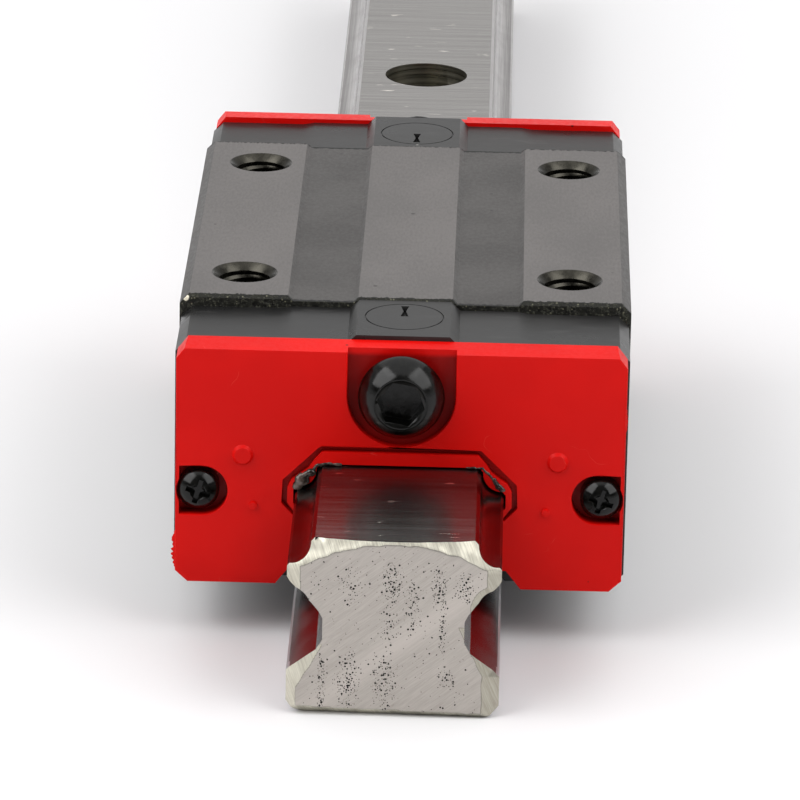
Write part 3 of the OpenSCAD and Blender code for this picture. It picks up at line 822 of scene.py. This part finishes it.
def build_grease(name, route, thickness, seed):
    """A smear of grease: lumps strung along a route of (X, Z) points in mm, melted together."""
    random.seed(seed)
    bm = bmesh.new()
    for (from_x, from_z), (to_x, to_z) in zip(route, route[1:]):
        length = math.hypot(to_x - from_x, to_z - from_z)
        steps = max(2, int(length / (0.35 * thickness)))
        for i in range(steps):
            part = i / steps
            size = thickness * random.uniform(0.6, 1.25)
            centre = Vector((
                from_x + (to_x - from_x) * part + random.uniform(-0.3, 0.3) * thickness,
                seal_face / MM + random.uniform(-0.15, 0.25) * thickness,
                from_z + (to_z - from_z) * part + random.uniform(-0.3, 0.3) * thickness,
            ))
            squeeze = Matrix.Diagonal((size, size * 0.8, size * random.uniform(0.7, 1.1), 1))
            place = Matrix.Scale(MM, 4) @ Matrix.Translation(centre) @ squeeze
            bmesh.ops.create_icosphere(bm, subdivisions=3, radius=1.0, matrix=place)
    piece = make_piece(name, bm, "carriage", [grease], sharp=180)
    melt = piece.modifiers.new("melt", "REMESH")
    melt.mode, melt.voxel_size, melt.use_smooth_shade = "VOXEL", 0.07 * MM, True
    soften = piece.modifiers.new("soften", "SMOOTH")
    soften.factor, soften.iterations = 0.6, 4


LEFT_ROUTE = ((-10.0, 15.3), (-9.2, 15.9), (-9.7, 16.1), (-8.9, 16.5), (-8.4, 16.9))
LEFT_TRAIL_ROUTE = ((-8.4, 16.9), (-8.0, 17.6), (-6.9, 17.75), (-5.6, 17.7))
RIGHT_ROUTE = ((9.0, 16.6), (9.5, 15.9), (10.0, 15.5))
RIGHT_TRAIL_ROUTE = ((6.4, 17.7), (7.9, 17.7), (8.6, 17.0), (9.2, 16.3))
build_grease("grease_left", LEFT_ROUTE, thickness=0.44, seed=3)
build_grease("grease_left_trail", LEFT_TRAIL_ROUTE, thickness=0.16, seed=5)
build_grease("grease_right", RIGHT_ROUTE, thickness=0.26, seed=8)
build_grease("grease_right_trail", RIGHT_TRAIL_ROUTE, thickness=0.13, seed=9)


# ---- moulding flash on the seal's edge ----


def build_flash(name, side, low_z, high_z, reach, seed):
    """Ragged paper-thin fin that the mould left on an outer edge of the front seal, in mm."""
    random.seed(seed)
    bm = bmesh.new()
    steps, most = 26, 0.42 * MM
    root = side * (seal_high.x - 0.15 * MM)
    rows = []
    for i in range(steps + 1):
        part = i / steps
        z = (low_z + (high_z - low_z) * part) * MM
        out = reach * math.sin(math.pi * part) ** 0.5 * random.uniform(0.35, 1.0) * MM
        tip = side * (seal_high.x + min(out, most))
        y = seal_face + 0.35 * MM + random.uniform(-0.05, 0.05) * MM
        rows.append([
            bm.verts.new((root, seal_face + 0.28 * MM, z)),
            bm.verts.new((tip, y - 0.03 * MM, z)),
            bm.verts.new((tip, y + 0.03 * MM, z)),
            bm.verts.new((root, seal_face + 0.44 * MM, z)),
        ])
    skin_rings(bm, rows)
    make_piece(name, bm, "carriage", [seal_red], sharp=40)


build_flash("flash_left", LEFT, 6.6, 10.4, 0.45, 21)
build_flash("flash_right", RIGHT, 21.5, 24.0, 0.16, 22)


# ---- studio ----

FLOOR_RADIUS = 7.0  # metres
LAMP_TARGET = (0, -0.08, 0.02)
CAMERA_PLACE = (0.0089017, -0.6471788, 0.2201158)
CAMERA_YAW, CAMERA_PITCH, CAMERA_ROLL = 0.0165, 0.3434, -0.0199  # radians
SENSOR_WIDTH, FOCAL_LENGTH = 36.0, 273.857  # millimetres
# Brightness of the room by the sine of the angle above level: behind the carriage, and on the
# camera's side. Between the two Y of the seam, a unit direction's sky goes from front to back.
BACK_SKY = ((0.0, 1.0), (0.08, 1.0), (0.25, 0.75), (0.45, 0.5), (1.0, 0.45))
FRONT_SKY = ((0.0, 0.9), (0.05, 0.8), (0.16, 0.14), (0.6, 0.12), (1.0, 0.45))
SKY_SEAM = (-0.35, 0.25)


def build_floor():
    """A round white card that reaches past everything the camera sees."""
    bm = bmesh.new()
    bmesh.ops.create_circle(bm, cap_ends=True, segments=96, radius=FLOOR_RADIUS)
    mesh = bpy.data.meshes.new("floor")
    bm.to_mesh(mesh)
    bm.free()
    mesh.materials.append(floor_card)
    floor = bpy.data.objects.new("floor", mesh)
    bpy.context.scene.collection.objects.link(floor)


def softbox(name, place, size, power):
    """A square lamp, size metres wide, that faces the carriage."""
    data = bpy.data.lights.new(name, "AREA")
    data.shape = "SQUARE"
    data.size = size
    data.energy = power
    lamp = bpy.data.objects.new(name, data)
    bpy.context.scene.collection.objects.link(lamp)
    lamp.location = place
    ahead = Vector(LAMP_TARGET) - Vector(place)
    lamp.rotation_euler = ahead.to_track_quat("-Z", "Y").to_euler()


def build_world():
    """A pale room behind the carriage, white at the horizon, and a dim one on the camera's side."""
    world = bpy.data.worlds.new("studio")
    bpy.context.scene.world = world
    world.use_nodes = True
    g = Graph(world.node_tree)
    direction = g.node("TexCoord", output="Generated")
    _, y, z = g.node("SeparateXYZ", {0: direction}).node.outputs
    skies = []
    for stops in (BACK_SKY, FRONT_SKY):
        sky = g.node("ValToRGB", {0: g.math("MAXIMUM", z, 0.0)})
        elements = sky.node.color_ramp.elements
        for position, _ in stops[1:-1]:
            elements.new(position)
        for element, (position, grey) in zip(elements, stops):
            element.position, element.color = position, rgb(grey, grey, grey)
        skies.append(sky)
    back, front = skies
    colour = g.mix(g.ease(y, *SKY_SEAM), front, back)
    background = g.node("Background", {"Color": colour, "Strength": 1.0})
    end = world.node_tree.nodes.new("ShaderNodeOutputWorld")
    world.node_tree.links.new(background, end.inputs["Surface"])


def build_camera():
    """Long lens above the front of the rail, tilted down and turned and rolled by a degree."""
    yaw, pitch, roll = CAMERA_YAW, CAMERA_PITCH, CAMERA_ROLL
    level = math.cos(pitch)
    ahead = Vector((-math.sin(yaw) * level, math.cos(yaw) * level, -math.sin(pitch)))
    right = Vector((math.cos(yaw), math.sin(yaw), 0))
    down = ahead.cross(right)
    turned_right = right * math.cos(roll) + down * math.sin(roll)
    turned_down = down * math.cos(roll) - right * math.sin(roll)
    data = bpy.data.cameras.new("camera")
    data.sensor_width, data.lens = SENSOR_WIDTH, FOCAL_LENGTH
    data.clip_start, data.clip_end = 0.05, 50
    camera = bpy.data.objects.new("camera", data)
    bpy.context.scene.collection.objects.link(camera)
    turn = Matrix((turned_right, -turned_down, -ahead)).transposed().to_4x4()
    camera.matrix_world = Matrix.Translation(CAMERA_PLACE) @ turn
    bpy.context.scene.camera = camera


build_floor()
build_world()
softbox("left_softbox", (-0.78, -0.46, 0.78), 0.95, 11.4)
softbox("right_softbox", (0.80, -0.44, 0.76), 0.95, 9.0)
softbox("overhead", (0.0, 0.3, 1.5), 2.6, 18.0)
build_camera()
bpy.context.scene.view_settings.view_transform = "Standard"
